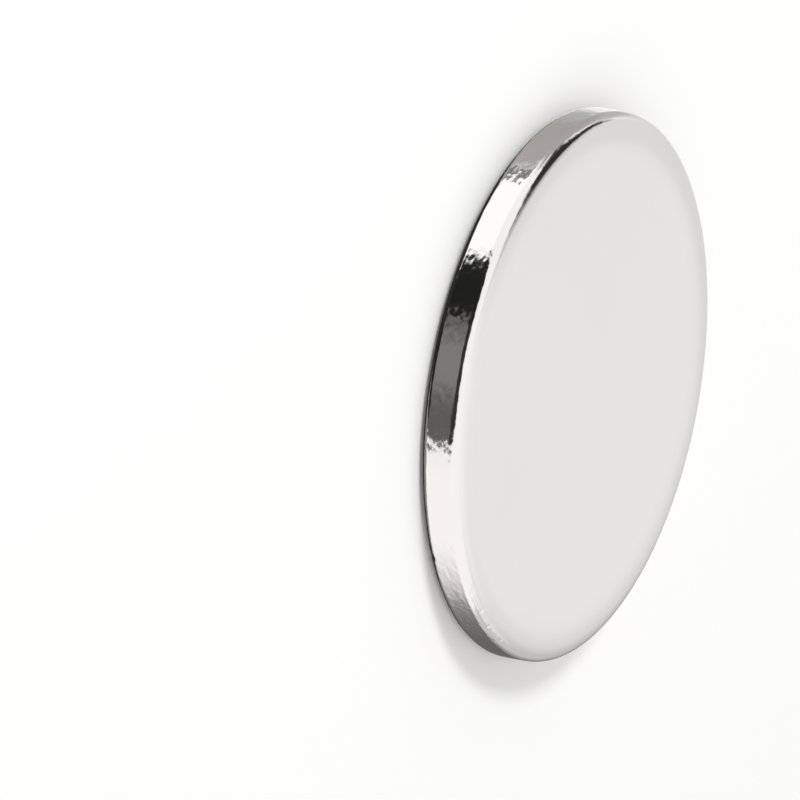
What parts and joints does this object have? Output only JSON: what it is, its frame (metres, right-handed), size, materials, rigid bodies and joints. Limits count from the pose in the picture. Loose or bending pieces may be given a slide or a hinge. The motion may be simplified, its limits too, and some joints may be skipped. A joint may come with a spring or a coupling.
{
  "type": "disc magnet",
  "caption": "Thin solid disc magnet, bright metal plated, with flat faces and a round-edged rim.",
  "frame": {"origin": "centre of the back face, on the surface that the disc lies on", "axes": "+Z along the disc's axis, from the back face to the front face; X and Y lie in the back face"},
  "size_m": [0.02, 0.02, 0.0015],
  "materials": {
    "nickel_plating": "bright nickel plating, mirror-like with a fine grain on the rim, satin on the ground faces"
  },
  "bodies": {
    "root": {"disc_magnet": "nickel_plating"}
  },
  "joints": []
}
